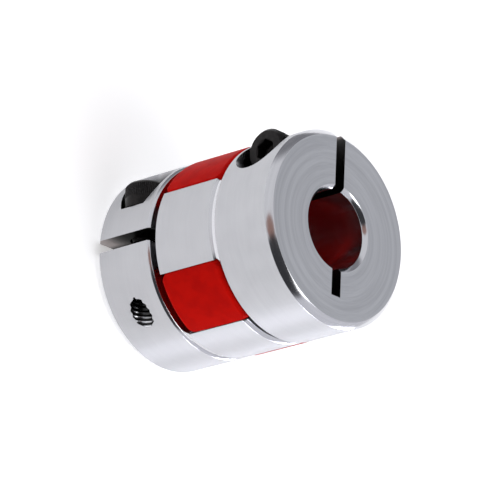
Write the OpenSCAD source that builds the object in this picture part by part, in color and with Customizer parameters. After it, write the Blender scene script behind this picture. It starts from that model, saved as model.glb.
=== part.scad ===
// Clamping jaw coupling: two equal slit hubs with two jaws each, a four-lobed spider between them,
// and a socket-head clamp screw through each hub.
// Frame: +Z along the shaft axis, origin at the centre of the rear hub's end face, millimetres.
// The rear hub's slit opens towards +X. The front hub is the same part turned end for end,
// and its slit opens towards -Y.

/* [Coupling] */
// Outside diameter of both hubs
hub_d = 30; // [29.8:0.1:30.6]
// Length over both end faces
coupling_len = 35; // [34.8:0.1:36]
// Shaft bore of the front hub
front_bore_d = 12; // [6:0.5:12]
// Shaft bore of the rear hub
rear_bore_d = 12; // [6:0.5:12]

/* [Hub] */
// Length of the hub's body, from its end face to the floor between its jaws
body_len = 11; // [10.9:0.1:11.2]
// Chamfer on the outer edge of the end face
end_chamfer = 0.95; // [0.4:0.05:1.1]
// Chamfer on the bore's mouth
bore_chamfer = 0.6; // [0.3:0.05:0.8]
// Chamfer on the body's outer edge at the floor
floor_chamfer = 0.35; // [0.1:0.05:0.4]

/* [Jaws] */
// Free gap between a jaw's tip and the other hub's floor
tip_gap = 0.9; // [0.5:0.1:1.2]
// Chamfer round a jaw's tip
tip_chamfer = 0.5; // [0.2:0.05:0.6]
// Depth of the relief turned round the jaws' roots
relief_depth = 0.35; // [0.2:0.05:0.5]
// Width of that relief's bottom
relief_w = 0.6; // [0.3:0.05:0.7]
// Chamfer in the corner where a flank meets the floor
root_chamfer = 0.8; // [0.3:0.1:0.8]
// Radius from the shaft axis to a jaw's inner face
jaw_inner_r = 7.5; // [7.4:0.1:8]

/* [Spider] */
// Angle that one lobe takes at the outside diameter
lobe_angle = 39; // [37:0.5:40]
// Radius from the shaft axis to the middle of a lobe's round flanks
lobe_centre_r = 12; // [11.8:0.1:12.3]
// Length of the lobes along the shaft axis
lobe_len = 11.7; // [10.8:0.1:12]
// Gap between the spider and the jaws' flanks
flank_gap = 0.1; // [0.05:0.01:0.2]
// Rounding between a lobe's flanks and its ends
lobe_round = 1.5; // [1.2:0.1:1.8]
// Rounding of the spider's outer edge
rim_round = 0.7; // [0.2:0.1:0.8]
// Hole through the spider's middle
spider_hole_d = 10.5; // [8:0.5:11]

/* [Clamp] */
// Width of the slit
slit_w = 1.9; // [1:0.1:2]
// Radius from the shaft axis to the slit's blind end, across the bore
slit_end_r = 10.5; // [9:0.1:11]
// Distance from the shaft axis to the screw's axis
screw_offset = 10.7; // [10.5:0.1:11.1]
// Distance from the end face to the screw's axis
screw_from_end = 6.2; // [5.8:0.1:6.4]
// Distance from the slit's middle to the screw head's seat
seat_from_slit = 5.7; // [5.2:0.1:5.8]

/* [Screw] */
// Thread diameter of the clamp screws
screw_d = 4; // [3:0.5:4]
// Length under the head
screw_len = 12; // [11:0.5:13]

/* [Hidden] */
$fn = 96;

over = 1;                                    // how far a cutter runs past what it cuts
hub_r = hub_d / 2;
far = hub_d;                                 // reaches out of the hub from anywhere in it

// Jaws, and the pockets between them
jaw_r = hub_r - 0.06;                        // the jaws are turned a little under the body
jaw_tip_z = coupling_len - body_len - tip_gap;
pocket_r = norm([hub_r * sin(lobe_angle / 2), hub_r * cos(lobe_angle / 2) - lobe_centre_r]);
bore_exit_chamfer = 0.3;

// Spider, resting against the front hub's floor
seat_gap = 0.1;
spider_top_z = coupling_len - body_len - seat_gap;
spider_bottom_z = spider_top_z - lobe_len;
spider_r = hub_r + 0.05;                     // the lobes stand a little proud of the hubs
lobe_r = pocket_r - flank_gap;
ring_r = jaw_inner_r - 0.2;
ring_inset = 0.6;                            // how far the ring stands back from the lobes' ends

// Clamp screw, to the usual socket-head proportions
head_d = 1.7 * screw_d;
head_h = screw_d;
head_chamfer = 0.1 * screw_d;
socket_af = 0.75 * screw_d;
socket_depth = 0.5 * screw_d;
socket_point = 0.4;                          // depth of the drill point under the hexagon
screw_tip_bevel = 0.15 * screw_d;
head_clearance = 0.02;                       // between the head and its seat
counterbore_r = head_d / 2 + 0.5;
clearance_hole_r = screw_d / 2 + 0.25;
thread_major_r = screw_d / 2 + 0.05;
thread_minor_r = 0.825 * screw_d / 2;
tapped_from = screw_len - seat_from_slit + 0.5;   // empty thread beyond the screw's tip

// Half of the body's section: radius across, distance from the end face up.
module body_section(bore_r) {
    polygon([
        [bore_r + bore_chamfer, 0],
        [hub_r - end_chamfer, 0],
        [hub_r, end_chamfer],
        [hub_r, body_len - floor_chamfer],
        [hub_r - floor_chamfer, body_len],
        [bore_r + bore_exit_chamfer, body_len],
        [bore_r, body_len - bore_exit_chamfer],
        [bore_r, bore_chamfer]
    ]);
}

// Half of the section of the ring that the jaws are milled from, with the relief at their roots.
module jaw_section() {
    relief_r = jaw_r - relief_depth;
    relief_top = body_len + relief_w;
    polygon([
        [jaw_inner_r, body_len - over],
        [relief_r, body_len - over],
        [relief_r, relief_top],
        [jaw_r, relief_top + relief_depth],
        [jaw_r, jaw_tip_z - tip_chamfer],
        [jaw_r - tip_chamfer, jaw_tip_z],
        [jaw_inner_r, jaw_tip_z]
    ]);
}

// The two quarters of a circle, centred on +Y and -Y, that the rear hub's jaws stand in.
module jaw_quarters(h) {
    for (side = [-1, 1])
        linear_extrude(h) polygon([[0, 0], far * [1, side], far * [-1, side]]);
}

module at_lobes() {
    for (a = [45, 135, 225, 315]) rotate(a) translate([lobe_centre_r, 0, 0]) children();
}

// The room for one lobe, with a chamfer in the corner at the floor.
module lobe_pocket() {
    rotate_extrude() polygon([
        [0, body_len - 2 * over],
        [pocket_r - root_chamfer - 2 * over, body_len - 2 * over],
        [pocket_r, body_len + root_chamfer],
        [pocket_r, jaw_tip_z + over],
        [0, jaw_tip_z + over]
    ]);
}

module jaws() {
    intersection() {
        difference() {
            rotate_extrude() jaw_section();
            at_lobes() lobe_pocket();
        }
        jaw_quarters(coupling_len);
    }
}

// Slit from the outside, across the bore, to its blind end.
module slit() {
    translate([-slit_end_r, -slit_w / 2, -over]) cube([slit_end_r + far, slit_w, body_len + 2 * over]);
}

// Puts what is drawn along +Z on the screw's line, with the slit's middle at z = 0 and the head's side up.
module along_screw() {
    translate([screw_offset, 0, screw_from_end]) rotate([90, 0, 0]) children();
}

// Counterbore and clearance hole on the head's side of the slit, tapped hole on the other.
// The tapped hole has the thread's outer radius round the screw and its inner radius beyond it.
module screw_holes() {
    along_screw() {
        translate([0, 0, seat_from_slit]) cylinder(r = counterbore_r, h = far);
        cylinder(r = clearance_hole_r, h = far);
        translate([0, 0, -tapped_from]) cylinder(r = thread_major_r, h = tapped_from);
        translate([0, 0, -far]) cylinder(r = thread_minor_r, h = far);
    }
}

module hub(bore_d) {
    color("silver") difference() {
        union() {
            rotate_extrude() body_section(bore_d / 2);
            jaws();
        }
        slit();
        screw_holes();
    }
}

// Half of the socket-head screw's section, with the head's seat at height 0.
module screw_section() {
    polygon([
        [0, -screw_len],
        [screw_d / 2 - screw_tip_bevel, -screw_len],
        [screw_d / 2, screw_tip_bevel - screw_len],
        [screw_d / 2, 0],
        [head_d / 2, 0],
        [head_d / 2, head_h - head_chamfer],
        [head_d / 2 - head_chamfer, head_h],
        [0, head_h]
    ]);
}

module clamp_screw() {
    socket_floor = head_h - socket_depth;
    color([0.09, 0.09, 0.09])
        along_screw() translate([0, 0, seat_from_slit + head_clearance]) difference() {
            rotate_extrude() screw_section();
            translate([0, 0, socket_floor])
                cylinder(d = socket_af / cos(30), h = socket_depth + over, $fn = 6);
            translate([0, 0, socket_floor - socket_point])
                cylinder(r1 = 0, r2 = socket_af / 2, h = socket_point);
        }
}

// Half of a lobe's section: its flank rounds into both ends.
module lobe_section() {
    translate([0, spider_bottom_z]) square([lobe_r - lobe_round, lobe_len]);
    translate([0, spider_bottom_z + lobe_round]) square([lobe_r, lobe_len - 2 * lobe_round]);
    for (z = [spider_bottom_z + lobe_round, spider_top_z - lobe_round])
        translate([lobe_r - lobe_round, z]) circle(lobe_round);
}

// Half of the section of the drum that bounds the spider.
module drum_section() {
    translate([0, spider_bottom_z]) square([spider_r - rim_round, lobe_len]);
    translate([0, spider_bottom_z + rim_round]) square([spider_r, lobe_len - 2 * rim_round]);
    for (z = [spider_bottom_z + rim_round, spider_top_z - rim_round])
        translate([spider_r - rim_round, z]) circle(rim_round);
}

module spider() {
    color([0.72, 0.05, 0.04]) difference() {
        union() {
            intersection() {
                at_lobes() rotate_extrude() lobe_section();
                rotate_extrude() drum_section();
            }
            translate([0, 0, spider_bottom_z + ring_inset])
                cylinder(r = ring_r, h = lobe_len - 2 * ring_inset);
        }
        cylinder(d = spider_hole_d, h = coupling_len);
    }
}

// Carries a part from the rear hub's place to the front hub's.
module front_place() {
    translate([0, 0, coupling_len]) rotate([0, 0, -90]) rotate([180, 0, 0]) children();
}

hub(rear_bore_d);  // rear_hub
front_place() hub(front_bore_d);  // front_hub
spider();
clamp_screw();  // rear_clamp_screw
front_place() clamp_screw();  // front_clamp_screw
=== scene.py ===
"""Looks of a clamping jaw coupling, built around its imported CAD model.

Each CAD node is replaced by a finer mesh of the same size in the same place. Meshes are drawn in
millimetres in the part's own frame (+Z along the shaft) and scaled to metres when they are finished.
"""

import math

import bmesh
import bpy
from mathutils import Matrix, Vector


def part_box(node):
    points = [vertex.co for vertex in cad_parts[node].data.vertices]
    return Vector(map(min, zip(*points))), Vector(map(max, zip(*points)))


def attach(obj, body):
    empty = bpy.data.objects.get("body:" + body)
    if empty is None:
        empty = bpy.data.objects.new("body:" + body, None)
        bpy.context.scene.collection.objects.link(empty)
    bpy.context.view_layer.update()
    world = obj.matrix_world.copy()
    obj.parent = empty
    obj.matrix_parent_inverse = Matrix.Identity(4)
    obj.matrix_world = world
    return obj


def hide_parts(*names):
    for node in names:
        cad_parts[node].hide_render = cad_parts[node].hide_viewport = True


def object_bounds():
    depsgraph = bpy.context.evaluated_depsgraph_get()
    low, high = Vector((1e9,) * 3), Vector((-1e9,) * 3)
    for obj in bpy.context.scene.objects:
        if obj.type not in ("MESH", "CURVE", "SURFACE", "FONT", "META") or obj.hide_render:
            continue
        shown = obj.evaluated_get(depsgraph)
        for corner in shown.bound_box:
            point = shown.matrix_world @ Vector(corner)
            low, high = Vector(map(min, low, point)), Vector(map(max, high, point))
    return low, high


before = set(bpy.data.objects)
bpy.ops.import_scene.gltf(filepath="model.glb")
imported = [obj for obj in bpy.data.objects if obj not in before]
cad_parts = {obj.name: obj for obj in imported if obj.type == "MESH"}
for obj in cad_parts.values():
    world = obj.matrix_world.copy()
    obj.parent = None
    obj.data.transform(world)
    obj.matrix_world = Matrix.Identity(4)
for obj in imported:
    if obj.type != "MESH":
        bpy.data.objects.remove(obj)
cad_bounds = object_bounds()

MM = 0.001


# ---------------------------------------------------------------- sizes, in mm

hub_low, hub_high = (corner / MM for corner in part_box("rear_hub"))
spider_low, spider_high = (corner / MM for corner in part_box("spider"))
screw_low, screw_high = (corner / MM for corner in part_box("rear_clamp_screw"))

LENGTH = cad_bounds[1][2] / MM
HUB_R = -hub_low.x
JAW_TIP = hub_high.z
SPIDER_TOP = spider_high.z
SPIDER_BOTTOM = spider_low.z
SEAT_GAP = 0.1
BODY_LEN = LENGTH - SPIDER_TOP - SEAT_GAP

BORE_R = 6.0
END_CHAMFER = 0.95
BORE_CHAMFER = 0.6
BORE_EXIT_CHAMFER = 0.3
FLOOR_CHAMFER = 0.35

JAW_R = HUB_R - 0.06
JAW_INNER_R = 7.5
TIP_CHAMFER = 0.5
RELIEF_DEPTH = 0.35
RELIEF_W = 0.6
ROOT_FILLET = 1.1

LOBE_CENTRE_R = 12.0
LOBE_HALF_ANGLE = math.radians(19.5)
POCKET_R = math.hypot(HUB_R * math.sin(LOBE_HALF_ANGLE), HUB_R * math.cos(LOBE_HALF_ANGLE) - LOBE_CENTRE_R)
FLANK_GAP = 0.1
LOBE_R = POCKET_R - FLANK_GAP
LOBE_ROUND = 1.5
LOBE_ANGLES = [math.radians(a) for a in (45, 135, 225, 315)]
RIM_ROUND = 0.7
SPIDER_R = HUB_R + 0.05
SPIDER_HOLE_R = 5.25
RING_R = JAW_INNER_R - 0.2
RING_INSET = 0.6

SLIT_W = 1.9
SLIT_END_R = 10.5
SCREW_OFFSET = (screw_low.x + screw_high.x) / 2
SCREW_FROM_END = (screw_low.z + screw_high.z) / 2
HEAD_R = (screw_high.x - screw_low.x) / 2
HEAD_H = 4.0
HEAD_SEAT = -screw_low.y - HEAD_H
HEAD_CLEARANCE = 0.02
SCREW_LEN = screw_high.y + HEAD_SEAT
SHANK_R = 2.0
PITCH = 0.7
SOCKET_AF = 3.0
SOCKET_DEPTH = 2.0
SOCKET_POINT = 0.4
COUNTERBORE_R = HEAD_R + 0.5
COUNTERBORE_Z = HEAD_SEAT - HEAD_CLEARANCE
CLEARANCE_R = SHANK_R + 0.25
TAPPED_R = SHANK_R + 0.05
TAPPED_ROOT_R = 1.65
TAPPED_CREST_R = 1.82
EMPTY_THREAD = SCREW_LEN - COUNTERBORE_Z + 0.5

SEGMENTS = 360
FAR = 2 * HUB_R          # reaches out of the hub from anywhere in it
OVER = 1.0               # how far a cutter runs past what it cuts
SINK = 0.02              # how far a cutter dips past a face that it must not share
MERGE_WITHIN = 1e-4      # points nearer than this are one
BEVEL_FROM = math.radians(35)
SHARP_FROM = math.radians(32)

ALONG_SCREW = Matrix.Translation((SCREW_OFFSET, 0, SCREW_FROM_END)) @ Matrix.Rotation(math.pi / 2, 4, "X")
FRONT_PLACE = (
    Matrix.Translation((0, 0, LENGTH))
    @ Matrix.Rotation(-math.pi / 2, 4, "Z")
    @ Matrix.Rotation(math.pi, 4, "X")
)


# ---------------------------------------------------------------- shader nodes


def shader(tree, kind, inputs=None, **settings):
    """A node with its settings and inputs. An input goes by its name or its place, and is a number,
    a colour or another node's output."""
    made = tree.nodes.new(kind)
    for name, value in settings.items():
        setattr(made, name, value)
    for name, value in (inputs or {}).items():
        if isinstance(value, bpy.types.NodeSocket):
            tree.links.new(value, made.inputs[name])
        else:
            made.inputs[name].default_value = value
    return made


def calc(tree, operation, *values, clamp=False):
    made = tree.nodes.new("ShaderNodeMath")
    made.operation = operation
    made.use_clamp = clamp
    for socket, value in zip(made.inputs, values):
        if isinstance(value, bpy.types.NodeSocket):
            tree.links.new(value, socket)
        else:
            socket.default_value = value
    return made.outputs[0]


def ramp(tree, value, low, high, to_low=0.0, to_high=1.0):
    """Runs smoothly from to_low to to_high while the value runs from low to high."""
    made = shader(
        tree,
        "ShaderNodeMapRange",
        {"Value": value, "From Min": low, "From Max": high, "To Min": to_low, "To Max": to_high},
        interpolation_type="SMOOTHSTEP",
    )
    return made.outputs["Result"]


def noise(tree, vector, scale, detail=2.0, roughness=0.5):
    made = shader(
        tree,
        "ShaderNodeTexNoise",
        {"Vector": vector, "Scale": scale, "Detail": detail, "Roughness": roughness},
    )
    return made.outputs["Fac"]


# Where a Mix node keeps its two colours and their blend
MIX_FIRST, MIX_SECOND, MIX_RESULT = 6, 7, 2


def blend_colour(tree, factor, first, second):
    inputs = {"Factor": factor, MIX_FIRST: first, MIX_SECOND: second}
    return shader(tree, "ShaderNodeMix", inputs, data_type="RGBA").outputs[MIX_RESULT]


def new_material(name):
    """A node material, its Principled BSDF, and the object's own coordinates in millimetres."""
    material = bpy.data.materials.new(name)
    material.use_nodes = True
    tree = material.node_tree
    surface = next(n for n in tree.nodes if n.type == "BSDF_PRINCIPLED")
    place = shader(tree, "ShaderNodeTexCoord").outputs["Object"]
    in_mm = shader(tree, "ShaderNodeVectorMath", {0: place}, operation="SCALE")
    in_mm.inputs["Scale"].default_value = 1 / MM
    return material, tree, surface, in_mm.outputs[0]


def combine(tree, x=0.0, y=0.0, z=0.0):
    return shader(tree, "ShaderNodeCombineXYZ", {"X": x, "Y": y, "Z": z}).outputs[0]


def bump(tree, surface, height, distance_mm):
    made = shader(tree, "ShaderNodeBump", {"Height": height, "Distance": distance_mm * MM, "Strength": 1.0})
    tree.links.new(made.outputs["Normal"], surface.inputs["Normal"])


ALUMINIUM = (0.66, 0.665, 0.69, 1)
SATIN = (0.56, 0.565, 0.585, 1)
ALUMINIUM_SHADE = (0.50, 0.505, 0.53, 1)
SCORCHED = (0.52, 0.45, 0.44, 1)
# Near black, painted into slits and holes as their shade
PAINTED_SHADE = (0.03, 0.03, 0.03, 1)
OXIDE_DEEP = (0.006, 0.005, 0.005, 1)
OXIDE_PALE = (0.014, 0.012, 0.012, 1)
OXIDE_RUBBED = (0.16, 0.16, 0.17, 1)
RED_BRIGHT = (0.46, 0.004, 0.002, 1)
RED_DEEP = (0.38, 0.003, 0.002, 1)
FLOOR_DIM = (0.93, 0.93, 0.93, 1)
FLOOR_PALE = (0.95, 0.95, 0.95, 1)
ALONG_TANGENT = 0.25     # a quarter turn of the anisotropic highlight


def shaft_radius(tree, place):
    parts = shader(tree, "ShaderNodeSeparateXYZ", {0: place})
    flat = combine(tree, parts.outputs["X"], parts.outputs["Y"])
    return shader(tree, "ShaderNodeVectorMath", {0: flat}, operation="LENGTH").outputs["Value"]


def cut_metal(name, lines, roughness, depth, anisotropic=0.0, shade=0.5, tint=ALUMINIUM, painted_shade_mask=None):
    """Aluminium with the marks a cutter leaves. lines(tree, place) gives the coordinates that
    change across the marks; the marks run where those coordinates stay the same.
    The last argument, called with (tree, place), gives how much shade is painted into the colour, from 0 to
    1."""
    material, tree, surface, place = new_material(name)
    across = lines(tree, place)
    drift = shader(tree, "ShaderNodeVectorMath", {0: place}, operation="SCALE")
    drift.inputs["Scale"].default_value = 0.04
    marks = shader(tree, "ShaderNodeVectorMath", {0: across, 1: drift.outputs[0]}, operation="ADD").outputs[0]
    fine = noise(tree, marks, 9.0, detail=3.0, roughness=0.65)
    wide = noise(tree, marks, 1.6, detail=2.0)
    clouds = noise(tree, place, 0.35, detail=3.0)
    tone = calc(tree, "ADD", calc(tree, "MULTIPLY", fine, 0.45), calc(tree, "MULTIPLY", wide, 0.55))
    factor = ramp(tree, tone, 0.32, 0.68, to_high=shade)
    colour = blend_colour(tree, factor, tint, ALUMINIUM_SHADE)
    # Painted shade: the colour darkens towards near black where the surface lies deep in a hollow.
    if painted_shade_mask:
        colour = blend_colour(tree, painted_shade_mask(tree, place), colour, PAINTED_SHADE)
    tree.links.new(colour, surface.inputs["Base Color"])
    grain = calc(tree, "MULTIPLY", calc(tree, "SUBTRACT", fine, 0.5), 0.16)
    patch = calc(tree, "MULTIPLY", calc(tree, "SUBTRACT", clouds, 0.5), 0.12)
    rough = calc(tree, "ADD", calc(tree, "ADD", grain, patch), roughness, clamp=True)
    tree.links.new(rough, surface.inputs["Roughness"])
    surface.inputs["Metallic"].default_value = 1.0
    surface.inputs["Anisotropic"].default_value = anisotropic
    surface.inputs["Anisotropic Rotation"].default_value = ALONG_TANGENT
    if anisotropic:
        tangent = shader(tree, "ShaderNodeTangent", direction_type="RADIAL", axis="Z")
        tree.links.new(tangent.outputs[0], surface.inputs["Tangent"])
    height = calc(tree, "ADD", fine, calc(tree, "MULTIPLY", wide, 0.6))
    bump(tree, surface, height, depth)
    return material


def round_shaft(tree, place):
    """Distance from the shaft axis and height along it: a lathe's rings and lines."""
    parts = shader(tree, "ShaderNodeSeparateXYZ", {0: place})
    return combine(tree, shaft_radius(tree, place), parts.outputs["Z"])


def along_z(tree, place):
    parts = shader(tree, "ShaderNodeSeparateXYZ", {0: place})
    return combine(tree, parts.outputs["X"], parts.outputs["Y"])


def along_x(tree, place):
    parts = shader(tree, "ShaderNodeSeparateXYZ", {0: place})
    return combine(tree, 0.0, parts.outputs["Y"], parts.outputs["Z"])


def along_y(tree, place):
    parts = shader(tree, "ShaderNodeSeparateXYZ", {0: place})
    return combine(tree, 0.0, parts.outputs["Y"])


def deep_in_slit(tree, place):
    """Painted shade: darker towards the bore and away from the end face. The head's side stays lighter
    further in.
    """
    parts = shader(tree, "ShaderNodeSeparateXYZ", {0: place})
    unshaded_from = ramp(tree, parts.outputs["Y"], -0.5, 0.5, to_low=11.5, to_high=14.6)
    below = calc(tree, "SUBTRACT", unshaded_from, shaft_radius(tree, place))
    inwards = ramp(tree, below, -1.2, 0.4)
    return calc(tree, "MAXIMUM", inwards, ramp(tree, parts.outputs["Z"], 1.0, 5.5))


def deep_in_hole(tree, place):
    """Painted shade fills the hole, and thins out at its mouth."""
    return ramp(tree, shaft_radius(tree, place), 13.4, 15.6, to_low=1.0, to_high=0.0)


def deep_in_thread(tree, place):
    """Painted shade lies in the thread's roots, and everywhere well inside the hole."""
    parts = shader(tree, "ShaderNodeSeparateXYZ", {0: place})
    across = calc(tree, "SUBTRACT", parts.outputs["X"], SCREW_OFFSET)
    along = calc(tree, "SUBTRACT", parts.outputs["Z"], SCREW_FROM_END)
    squares = calc(tree, "ADD", calc(tree, "POWER", across, 2.0), calc(tree, "POWER", along, 2.0))
    hole_radius = calc(tree, "SQRT", squares)
    roots = ramp(tree, hole_radius, TAPPED_ROOT_R + 0.03, TAPPED_CREST_R - 0.04)
    inwards = ramp(tree, shaft_radius(tree, place), 13.2, 14.6, to_low=1.0, to_high=0.0)
    return calc(tree, "MAXIMUM", roots, inwards)


def black_oxide(name):
    """Blackened steel, rubbed grey where the head's rim and the knurl stand proud."""
    material, tree, surface, place = new_material(name)
    radius = shaft_radius(tree, place)
    grain = noise(tree, place, 6.0, detail=4.0, roughness=0.6)
    clouds = noise(tree, place, 0.9, detail=2.0)
    proud = ramp(tree, radius, HEAD_R - 0.06, HEAD_R)
    rubbed = calc(tree, "MULTIPLY", proud, ramp(tree, grain, 0.42, 0.62))
    tone = blend_colour(tree, ramp(tree, clouds, 0.35, 0.65), OXIDE_DEEP, OXIDE_PALE)
    colour = blend_colour(tree, calc(tree, "MULTIPLY", rubbed, 0.25), tone, OXIDE_RUBBED)
    tree.links.new(colour, surface.inputs["Base Color"])
    rough = calc(tree, "ADD", calc(tree, "MULTIPLY", grain, 0.25), 0.28)
    tree.links.new(rough, surface.inputs["Roughness"])
    surface.inputs["Metallic"].default_value = 0.6
    surface.inputs["Specular IOR Level"].default_value = 0.3
    bump(tree, surface, grain, 0.006)
    return material


def moulded_red(name):
    """Red polyurethane: a satin moulded skin, very slightly uneven, with light just under it."""
    material, tree, surface, place = new_material(name)
    clouds = noise(tree, place, 0.45, detail=3.0)
    skin = noise(tree, place, 5.0, detail=4.0, roughness=0.6)
    ripple = noise(tree, place, 1.1, detail=1.0)
    colour = blend_colour(tree, ramp(tree, clouds, 0.35, 0.68), RED_BRIGHT, RED_DEEP)
    tree.links.new(colour, surface.inputs["Base Color"])
    rough = calc(tree, "ADD", calc(tree, "MULTIPLY", skin, 0.15), 0.38)
    tree.links.new(rough, surface.inputs["Roughness"])
    surface.inputs["Subsurface Weight"].default_value = 0.3
    surface.inputs["Subsurface Radius"].default_value = (1.0, 0.12, 0.08)
    surface.inputs["Subsurface Scale"].default_value = 1.6 * MM
    surface.inputs["Specular IOR Level"].default_value = 0.012
    height = calc(tree, "ADD", calc(tree, "MULTIPLY", skin, 0.3), ripple)
    bump(tree, surface, height, 0.02)
    return material


TURNED = cut_metal(
    "turned aluminium", round_shaft, roughness=0.40, depth=0.0015, anisotropic=0.85, shade=0.3, tint=SATIN
)
FACED = cut_metal("faced aluminium", round_shaft, roughness=0.34, depth=0.003, anisotropic=0.3, shade=0.8)
CHAMFERED = cut_metal("chamfered aluminium", round_shaft, roughness=0.14, depth=0.0015, shade=0.3)
BORED = cut_metal("bored aluminium", round_shaft, roughness=0.22, depth=0.001, shade=0.3)
# The tapped, sawn and drilled faces get painted shade deep in their holes and slit.
TAPPED = cut_metal("tapped aluminium", along_y, roughness=0.2, depth=0.003, painted_shade_mask=deep_in_thread)
MILLED = cut_metal("milled aluminium", along_z, roughness=0.26, depth=0.003)
SAWN = cut_metal("sawn aluminium", along_x, roughness=0.36, depth=0.012, tint=SCORCHED, painted_shade_mask=deep_in_slit)
DRILLED = cut_metal("drilled aluminium", along_y, roughness=0.24, depth=0.004, painted_shade_mask=deep_in_hole)
OXIDE = black_oxide("black oxide steel")
RED = moulded_red("red polyurethane")


# ---------------------------------------------------------------- meshes


def mesh_object(name, points, faces, *materials, material_of=None):
    """material_of holds one material number per face, and is left out when there is one material."""
    mesh = bpy.data.meshes.new(name)
    mesh.from_pydata(points, [], faces)
    for material in materials:
        mesh.materials.append(material)
    if material_of:
        mesh.polygons.foreach_set("material_index", material_of)
    work = bmesh.new()
    work.from_mesh(mesh)
    bmesh.ops.recalc_face_normals(work, faces=work.faces)
    work.to_mesh(mesh)
    work.free()
    made = bpy.data.objects.new(name, mesh)
    bpy.context.scene.collection.objects.link(made)
    return made


def revolved(name, section, material, segments=SEGMENTS, start=0.0, sweep=2 * math.pi, finishes=None):
    """A closed outline of (radius, height) points turned about Z. A part turn gets flat ends.
    finishes gives the material of any side of the outline that isn't cut like the rest."""
    finishes = finishes or {}
    materials = list(dict.fromkeys([material, *finishes.values()]))
    full = math.isclose(sweep, 2 * math.pi)
    stations = segments if full else segments + 1
    points, column = [], []
    for radius, height in section:
        if radius == 0:
            points.append((0, 0, height))
            column.append([len(points) - 1] * stations)
            continue
        first = len(points)
        for s in range(stations):
            angle = start + sweep * s / segments
            points.append((radius * math.cos(angle), radius * math.sin(angle), height))
        column.append(list(range(first, first + stations)))
    faces, material_of = [], []
    for side, (a, b) in enumerate(zip(column, column[1:] + column[:1])):
        for s in range(segments):
            t = (s + 1) % stations
            corners = list(dict.fromkeys((a[s], a[t], b[t], b[s])))
            if len(corners) > 2:
                faces.append(corners)
                material_of.append(materials.index(finishes.get(side, material)))
    if not full:
        faces.append([c[0] for c in column])
        faces.append([c[-1] for c in column])
        material_of += [0, 0]
    return mesh_object(name, points, faces, *materials, material_of=material_of)


def arc(centre, radius, first, last, steps):
    """Points on an arc of a section, from one angle in degrees to another."""
    turn = (last - first) / steps
    angles = [math.radians(first + turn * i) for i in range(steps + 1)]
    return [(centre[0] + radius * math.cos(a), centre[1] + radius * math.sin(a)) for a in angles]


def disc(name, radius, low, high, material, segments=96):
    """A plain round cutter."""
    return revolved(name, [(0, low), (radius, low), (radius, high), (0, high)], material, segments)


def block(name, low, high, material):
    corners = [(x, y, z) for x in (low[0], high[0]) for y in (low[1], high[1]) for z in (low[2], high[2])]
    faces = [(0, 1, 3, 2), (4, 6, 7, 5), (0, 4, 5, 1), (2, 3, 7, 6), (0, 2, 6, 4), (1, 5, 7, 3)]
    return mesh_object(name, corners, faces, material)


def threaded(name, low, high, root_r, crest_r, end_r, material, around=64, per_turn=8):
    """A threaded rod from low to high. Its thread grows over the first turn, fades over the last,
    and both ends narrow to end_r."""
    margin = 0.25 * PITCH
    root_flat = 0.125        # half of the root's and the crest's width, as a part of half a pitch
    turns = int((high - low - 2 * margin) / PITCH) - 1
    rows = turns * per_turn
    first_z = low + margin

    def radius(row, turn):
        part = (row % per_turn) / per_turn
        ridge = min(max((1 - abs(2 * part - 1) - root_flat) / (1 - 2 * root_flat), 0), 1)
        wound = row // per_turn + turn
        fade = min(max(min(wound, turns - wound), 0), 1)
        return root_r + (crest_r - root_r) * ridge * fade

    points = []
    for row in range(rows + 1):
        for j in range(around):
            turn = j / around
            angle = 2 * math.pi * turn
            r = radius(row, turn)
            z = first_z + PITCH * (row / per_turn + turn)
            points.append((r * math.cos(angle), r * math.sin(angle), z))

    def at(row, j):
        return row * around + j

    faces = []
    for row in range(rows):
        for j in range(around - 1):
            faces.append((at(row, j), at(row, j + 1), at(row + 1, j + 1), at(row + 1, j)))
        later = row + per_turn
        if later < rows:
            faces.append((at(row, around - 1), at(later, 0), at(later + 1, 0), at(row + 1, around - 1)))
    ends = []
    for z in (low, high):
        ends.append(len(points))
        for j in range(around):
            angle = 2 * math.pi * j / around
            points.append((end_r * math.cos(angle), end_r * math.sin(angle), z))
    low_ring, high_ring = ends
    for j in range(around - 1):
        faces.append((low_ring + j, low_ring + j + 1, at(0, j + 1), at(0, j)))
        faces.append((at(rows, j), at(rows, j + 1), high_ring + j + 1, high_ring + j))
    seam_low = [at(row, 0) for row in range(per_turn + 1)]
    faces.append([low_ring + around - 1, low_ring] + seam_low + [at(0, around - 1)])
    seam_high = [at(rows - row, around - 1) for row in range(per_turn + 1)]
    faces.append([high_ring, high_ring + around - 1] + seam_high + [at(rows, 0)])
    faces.append([low_ring + j for j in range(around)])
    faces.append([high_ring + j for j in range(around)])
    return mesh_object(name, points, faces, material)


def bake(target):
    """Makes what the modifiers show the object's own mesh."""
    shown = target.evaluated_get(bpy.context.evaluated_depsgraph_get())
    mesh = bpy.data.meshes.new_from_object(shown)
    target.modifiers.clear()
    target.data = mesh


def carve(target, others, operation="DIFFERENCE"):
    for other in others:
        cut = target.modifiers.new("carve", "BOOLEAN")
        cut.operation = operation
        cut.solver = "EXACT"
        cut.material_mode = "TRANSFER"
        cut.object = other
        bake(target)
        bpy.data.objects.remove(other)
    return target


def moved(made, matrix):
    made.data.transform(matrix)
    return made


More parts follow.
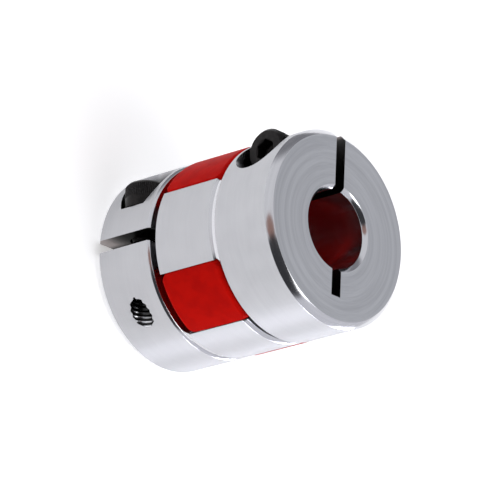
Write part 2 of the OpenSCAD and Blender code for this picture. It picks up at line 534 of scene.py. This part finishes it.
def finished(made, edge):
    """Breaks the sharp edges by so many mm, smooths the round faces and scales the mesh to metres."""
    work = bmesh.new()
    work.from_mesh(made.data)
    bmesh.ops.remove_doubles(work, verts=work.verts, dist=MERGE_WITHIN)
    bmesh.ops.dissolve_degenerate(work, edges=work.edges, dist=MERGE_WITHIN)
    work.to_mesh(made.data)
    work.free()
    bevel = made.modifiers.new("edges", "BEVEL")
    bevel.width = edge
    bevel.segments = 2
    bevel.limit_method = "ANGLE"
    bevel.angle_limit = BEVEL_FROM
    bevel.use_clamp_overlap = False
    bevel.miter_outer = "MITER_ARC"
    bake(made)
    made.data.transform(Matrix.Scale(MM, 4))
    made.data.shade_smooth()
    made.data.set_sharp_from_angle(angle=SHARP_FROM)
    weighted = made.modifiers.new("normals", "WEIGHTED_NORMAL")
    weighted.keep_sharp = True
    return made


# ---------------------------------------------------------------- hubs


def hub_body():
    return revolved(
        "rear hub",
        [
            (BORE_R + BORE_CHAMFER, 0),
            (HUB_R - END_CHAMFER, 0),
            (HUB_R, END_CHAMFER),
            (HUB_R, BODY_LEN - FLOOR_CHAMFER),
            (HUB_R - FLOOR_CHAMFER, BODY_LEN),
            (BORE_R + BORE_EXIT_CHAMFER, BODY_LEN),
            (BORE_R, BODY_LEN - BORE_EXIT_CHAMFER),
            (BORE_R, BORE_CHAMFER),
        ],
        TURNED,
        finishes={0: FACED, 1: CHAMFERED, 3: CHAMFERED, 4: CHAMFERED, 5: CHAMFERED, 6: BORED, 7: CHAMFERED},
    )


def jaw(middle):
    """One jaw, with the relief turned round its root and the chamfer round its tip."""
    relief_r, relief_top = JAW_R - RELIEF_DEPTH, BODY_LEN + RELIEF_W
    made = revolved(
        "jaw",
        [
            (JAW_INNER_R, BODY_LEN - OVER),
            (relief_r, BODY_LEN - OVER),
            (relief_r, relief_top),
            (JAW_R, relief_top + RELIEF_DEPTH),
            (JAW_R, JAW_TIP - TIP_CHAMFER),
            (JAW_R - TIP_CHAMFER, JAW_TIP),
            (JAW_INNER_R, JAW_TIP),
        ],
        TURNED,
        SEGMENTS // 4,
        middle - math.pi / 4,
        math.pi / 2,
        finishes={1: CHAMFERED, 2: CHAMFERED, 4: CHAMFERED, 5: FACED, 6: BORED},
    )
    return carve(made, [lobe_pocket(middle + side * math.pi / 4) for side in (-1, 1)])


def lobe_pocket(angle):
    """The room for one lobe, with a fillet in the corner at the floor."""
    inner = POCKET_R - ROOT_FILLET
    section = [(0, BODY_LEN - 2 * OVER), (inner - 0.6, BODY_LEN - 2 * OVER), (inner - 0.15, BODY_LEN - SINK)]
    section += arc((inner, BODY_LEN + ROOT_FILLET), ROOT_FILLET, -80, 0, 8)
    section += [(POCKET_R, JAW_TIP + OVER), (0, JAW_TIP + OVER)]
    made = revolved("pocket", section, MILLED, 240)
    return moved(made, Matrix.Rotation(angle, 4, "Z") @ Matrix.Translation((LOBE_CENTRE_R, 0, 0)))


def screw_hole_cutters():
    thread_low = -EMPTY_THREAD - 6.15        # out of the hub
    thread_high = -EMPTY_THREAD + 1.5        # inside the wider hole round the screw
    cutters = [
        disc("counterbore", COUNTERBORE_R, COUNTERBORE_Z, FAR, DRILLED, 144),
        disc("clearance", CLEARANCE_R, 0, FAR, DRILLED),
        disc("tapped", TAPPED_R, -EMPTY_THREAD, 0.1, DRILLED),
        threaded("thread", thread_low, thread_high, TAPPED_ROOT_R, TAPPED_CREST_R, TAPPED_ROOT_R, TAPPED),
    ]
    return [moved(cutter, ALONG_SCREW) for cutter in cutters]


def build_hub():
    made = carve(hub_body(), [jaw(math.pi / 2), jaw(-math.pi / 2)], "UNION")
    slit = block("slit", (-SLIT_END_R, -SLIT_W / 2, -OVER), (FAR, SLIT_W / 2, BODY_LEN + OVER), SAWN)
    return finished(carve(made, [slit] + screw_hole_cutters()), edge=0.05)


# ---------------------------------------------------------------- clamp screws


def screw_head():
    """The head: a smooth lower half, a straight knurl above it and a chamfer round the top."""
    teeth, per_tooth = 72, 4
    around = teeth * per_tooth
    plain, deep = HEAD_R - 0.05, HEAD_R - 0.12
    rows = [                 # radius, height, whether knurled
        (HEAD_R - 0.25, 0.0, False),
        (plain, 0.12, False),
        (plain, 0.42 * HEAD_H, False),
        (plain, 0.46 * HEAD_H, True),
        (plain, 0.86 * HEAD_H, True),
        (plain - 0.03, 0.9 * HEAD_H, False),
        (HEAD_R - 0.45, HEAD_H, False),
    ]
    tooth = (deep, HEAD_R, HEAD_R, deep)
    points = []
    for radius, height, knurled in rows:
        for j in range(around):
            r = tooth[j % per_tooth] if knurled else radius
            angle = 2 * math.pi * j / around
            points.append((r * math.cos(angle), r * math.sin(angle), height))
    last = (len(rows) - 1) * around
    faces = []
    for low in range(0, last, around):
        high = low + around
        for j in range(around):
            k = (j + 1) % around
            faces.append((low + j, low + k, high + k, high + j))
    faces.append(list(range(around)))
    faces.append(list(range(last, last + around)))
    return mesh_object("rear clamp screw", points, faces, OXIDE)


def build_screw():
    """The screw, drawn with its seat at height 0 and its head up."""
    flat_r = SOCKET_AF / 2
    floor = HEAD_H - SOCKET_DEPTH
    shank = threaded("shank", -SCREW_LEN, 0.6, SHANK_R - 0.4, SHANK_R, SHANK_R - 0.6, OXIDE)
    socket = disc("socket", flat_r / math.cos(math.pi / 6), floor, HEAD_H + OVER, OXIDE, 6)
    point_section = [
        (0, floor - SOCKET_POINT),
        (flat_r - 0.05, floor - SINK),
        (flat_r - 0.05, floor + 0.1),
        (0, floor + 0.1),
    ]
    point = revolved("point", point_section, OXIDE, 48)
    mouth_section = [
        (0, HEAD_H - 0.3),
        (flat_r - 0.15, HEAD_H - 0.3),
        (flat_r + 0.4, HEAD_H + 0.1),
        (0, HEAD_H + 0.1),
    ]
    mouth = revolved("mouth", mouth_section, OXIDE, 72)
    made = carve(screw_head(), [shank], "UNION")
    return finished(carve(made, [socket, point, mouth]), edge=0.03)


# ---------------------------------------------------------------- spider


def lobe(angle):
    """A round boss as wide as a lobe, with its ends rounded. The drum cuts it to the spider's outside."""
    low, high = SPIDER_BOTTOM, SPIDER_TOP
    inner = LOBE_R - LOBE_ROUND
    section = [(0, low)]
    section += arc((inner, low + LOBE_ROUND), LOBE_ROUND, -90, 0, 10)
    section += arc((inner, high - LOBE_ROUND), LOBE_ROUND, 0, 90, 10)
    section += [(0, high)]
    made = revolved("lobe", section, RED, 200)
    return moved(made, Matrix.Rotation(angle, 4, "Z") @ Matrix.Translation((LOBE_CENTRE_R, 0, 0)))


def drum():
    """The spider's outside, with rounded edges. It runs past both ends, so as not to cut them."""
    low, high = SPIDER_BOTTOM - OVER, SPIDER_TOP + OVER
    inner = SPIDER_R - RIM_ROUND
    section = [(0, low), (inner - OVER, low), (inner - SINK, SPIDER_BOTTOM - SINK)]
    section += arc((inner, SPIDER_BOTTOM + RIM_ROUND), RIM_ROUND, -85, 0, 8)
    section += arc((inner, SPIDER_TOP - RIM_ROUND), RIM_ROUND, 0, 85, 8)
    section += [(inner - SINK, SPIDER_TOP + SINK), (inner - OVER, high), (0, high)]
    return revolved("drum", section, RED)


def spider_ring():
    low, high = SPIDER_BOTTOM + RING_INSET, SPIDER_TOP - RING_INSET
    soft = 0.35              # rounding of the ring's edges
    section = arc((SPIDER_HOLE_R + soft, low + soft), soft, 180, 270, 5)
    section += arc((RING_R - soft, low + soft), soft, -90, 0, 5)
    section += arc((RING_R - soft, high - soft), soft, 0, 90, 5)
    section += arc((SPIDER_HOLE_R + soft, high - soft), soft, 90, 180, 5)
    return revolved("ring", section, RED)


def build_spider():
    made = carve(lobe(LOBE_ANGLES[0]), [lobe(a) for a in LOBE_ANGLES[1:]], "UNION")
    made.name = "spider"
    carve(made, [drum()], "INTERSECT")
    carve(made, [spider_ring()], "UNION")
    return finished(made, edge=0.04)


# ---------------------------------------------------------------- assembly


def in_metres(matrix):
    placed = matrix.copy()
    placed.translation = matrix.translation * MM
    return placed


def place(made, name, node, slot, matrix=None):
    made.name = name
    if matrix:
        made.matrix_world = in_metres(matrix)
    bpy.context.view_layer.update()
    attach(made, node)
    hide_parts(node)


def twin(made):
    """A second object with the same mesh and modifiers."""
    other = made.copy()
    bpy.context.scene.collection.objects.link(other)
    return other


SEATED = Matrix.Translation((0, 0, HEAD_SEAT))
rear_hub = build_hub()
front_hub = twin(rear_hub)
rear_screw = build_screw()
front_screw = twin(rear_screw)
place(rear_hub, "rear_hub_turned", "rear_hub", "hub_aluminium")
place(front_hub, "front_hub_turned", "front_hub", "hub_aluminium", FRONT_PLACE)
place(rear_screw, "rear_screw_blackened", "rear_clamp_screw", "screw_steel", ALONG_SCREW @ SEATED)
place(
    front_screw,
    "front_screw_blackened",
    "front_clamp_screw",
    "screw_steel",
    FRONT_PLACE @ ALONG_SCREW @ SEATED,
)
place(build_spider(), "spider_moulded", "spider", "spider_elastomer")


# ---------------------------------------------------------------- stage, light and camera


def direction(azimuth, elevation):
    a, e = math.radians(azimuth), math.radians(elevation)
    return Vector((math.cos(e) * math.cos(a), math.cos(e) * math.sin(a), math.sin(e)))


FLOOR_R = 3000


def build_floor():
    """A plain pale floor: a disc wide enough to fill every view."""
    made = disc("floor", FLOOR_R, -1, 0, floor_material(), 64)
    made.data.transform(Matrix.Scale(MM, 4))


def floor_material():
    material, tree, surface, place = new_material("pale floor")
    mottle = noise(tree, place, 0.02, detail=3.0)
    colour = blend_colour(tree, mottle, FLOOR_DIM, FLOOR_PALE)
    tree.links.new(colour, surface.inputs["Base Color"])
    surface.inputs["Roughness"].default_value = 0.9
    surface.inputs["Specular IOR Level"].default_value = 0.1
    surface.inputs["Emission Color"].default_value = (1, 1, 1, 1)
    surface.inputs["Emission Strength"].default_value = 0.45
    return material


# Soft boxes and dark flags of the studio, painted on the sky one over another: azimuth, elevation,
# radius of the middle and of the soft edge in degrees, colour.
STUDIO = [
    (128, 26, 34, 48, (0.74, 0.74, 0.79)),
    (105, -9, 14, 18, (14.5, 14.5, 16.0)),
    (145, -9, 14, 18, (14.5, 14.5, 16.0)),
    (206, 45, 30, 50, (0.56, 0.57, 0.60)),
    (268, 0, 18, 38, (0.26, 0.26, 0.28)),
    (3, 49, 9, 13, (0.36, 0.22, 0.19)),
    (56, 46, 25, 33, (0.045, 0.045, 0.05)),
]
SKY = (0.80, 0.80, 0.83)


def build_sky():
    world = bpy.data.worlds.new("studio")
    world.use_nodes = True
    tree = world.node_tree
    background = next(n for n in tree.nodes if n.type == "BACKGROUND")
    towards = shader(tree, "ShaderNodeTexCoord").outputs["Generated"]
    light = (*SKY, 1)
    for azimuth, elevation, middle, edge, colour in STUDIO:
        aim = direction(azimuth, elevation)
        facing = shader(tree, "ShaderNodeVectorMath", {0: towards, 1: aim}, operation="DOT_PRODUCT")
        edge_cosine, middle_cosine = (math.cos(math.radians(angle)) for angle in (edge, middle))
        inside = ramp(tree, facing.outputs["Value"], edge_cosine, middle_cosine)
        light = blend_colour(tree, inside, light, (*colour, 1))
    tree.links.new(light, background.inputs["Color"])
    bpy.context.scene.world = world


def soft_light(name, azimuth, elevation, distance, size, power):
    data = bpy.data.lights.new(name, "AREA")
    data.shape = "DISK"
    data.size = size
    data.energy = power
    made = bpy.data.objects.new(name, data)
    bpy.context.scene.collection.objects.link(made)
    towards = direction(azimuth, elevation)
    made.location = towards * distance
    made.rotation_euler = towards.to_track_quat("Z", "Y").to_euler()


CAMERA_AZIMUTH = 26.5
CAMERA_ELEVATION = 40.2
CAMERA_ROLL = 74.55
CAMERA_DISTANCE = 0.6538
CAMERA_LENS = 317
AIM = Vector((0, -0.00038, LENGTH * MM / 2))


def build_camera():
    """The photograph's view: from the front hub's side and above, turned so that the shaft lies
    across the picture."""
    data = bpy.data.cameras.new("camera")
    data.lens = CAMERA_LENS
    data.sensor_width = 36
    made = bpy.data.objects.new("camera", data)
    bpy.context.scene.collection.objects.link(made)
    azimuth, roll = math.radians(CAMERA_AZIMUTH), math.radians(CAMERA_ROLL)
    back = direction(CAMERA_AZIMUTH, CAMERA_ELEVATION)
    level_right = Vector((-math.sin(azimuth), math.cos(azimuth), 0))
    level_up = back.cross(level_right)
    right = math.cos(roll) * level_right + math.sin(roll) * level_up
    up = back.cross(right)
    turned = Matrix((right, up, back)).transposed().to_4x4()
    made.matrix_world = Matrix.Translation(AIM + CAMERA_DISTANCE * back) @ turned
    bpy.context.scene.camera = made


bpy.context.scene.view_settings.view_transform = "Standard"
build_floor()
build_sky()
soft_light("key", 110, 62, 0.9, 0.5, 2.0)
build_camera()
